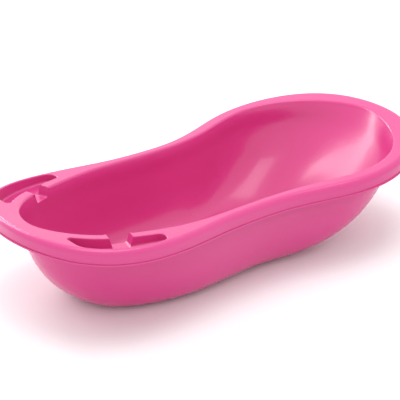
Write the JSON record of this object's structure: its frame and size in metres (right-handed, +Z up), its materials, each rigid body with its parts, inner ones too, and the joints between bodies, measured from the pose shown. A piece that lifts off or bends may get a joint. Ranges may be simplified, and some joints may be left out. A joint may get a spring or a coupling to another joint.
{
  "type": "baby bathtub",
  "caption": "Figure-eight baby bath moulding with a raised head end, two soap dishes set in the foot rim, a foot ring, and a floor drain with a lift-out plug.",
  "frame": {"origin": "on the ground under the middle of the rim's box", "axes": "+X to the head end, +Y to the tub's left side seen from the foot end, +Z up"},
  "size_m": [1, 0.4948, 0.2292],
  "materials": {
    "tub_plastic": "glossy moulded polypropylene, deep pink",
    "drain_plastic": "white moulded polypropylene",
    "plug_plastic": "white moulded polypropylene",
    "seal_rubber": "dark soft rubber"
  },
  "bodies": {
    "tub": {"tub_shell": "tub_plastic", "drain_body": "drain_plastic", "drain_gasket": "seal_rubber", "lock_nut": "drain_plastic"},
    "plug": {"drain_plug": "plug_plastic", "plug_seal": "seal_rubber"},
    "handle": {"plug_handle": "plug_plastic"}
  },
  "joints": [
    {"name": "plug_lift", "type": "slide", "parent": "tub", "child": "plug", "axis": [0, 0, 1], "range_m": [0, 0.08]},
    {"name": "handle_fold", "type": "hinge", "parent": "plug", "child": "handle", "pos_m": [-0.235, 0, 0.0156], "axis": [0, -1, 0], "range_deg": [0, 90]}
  ]
}
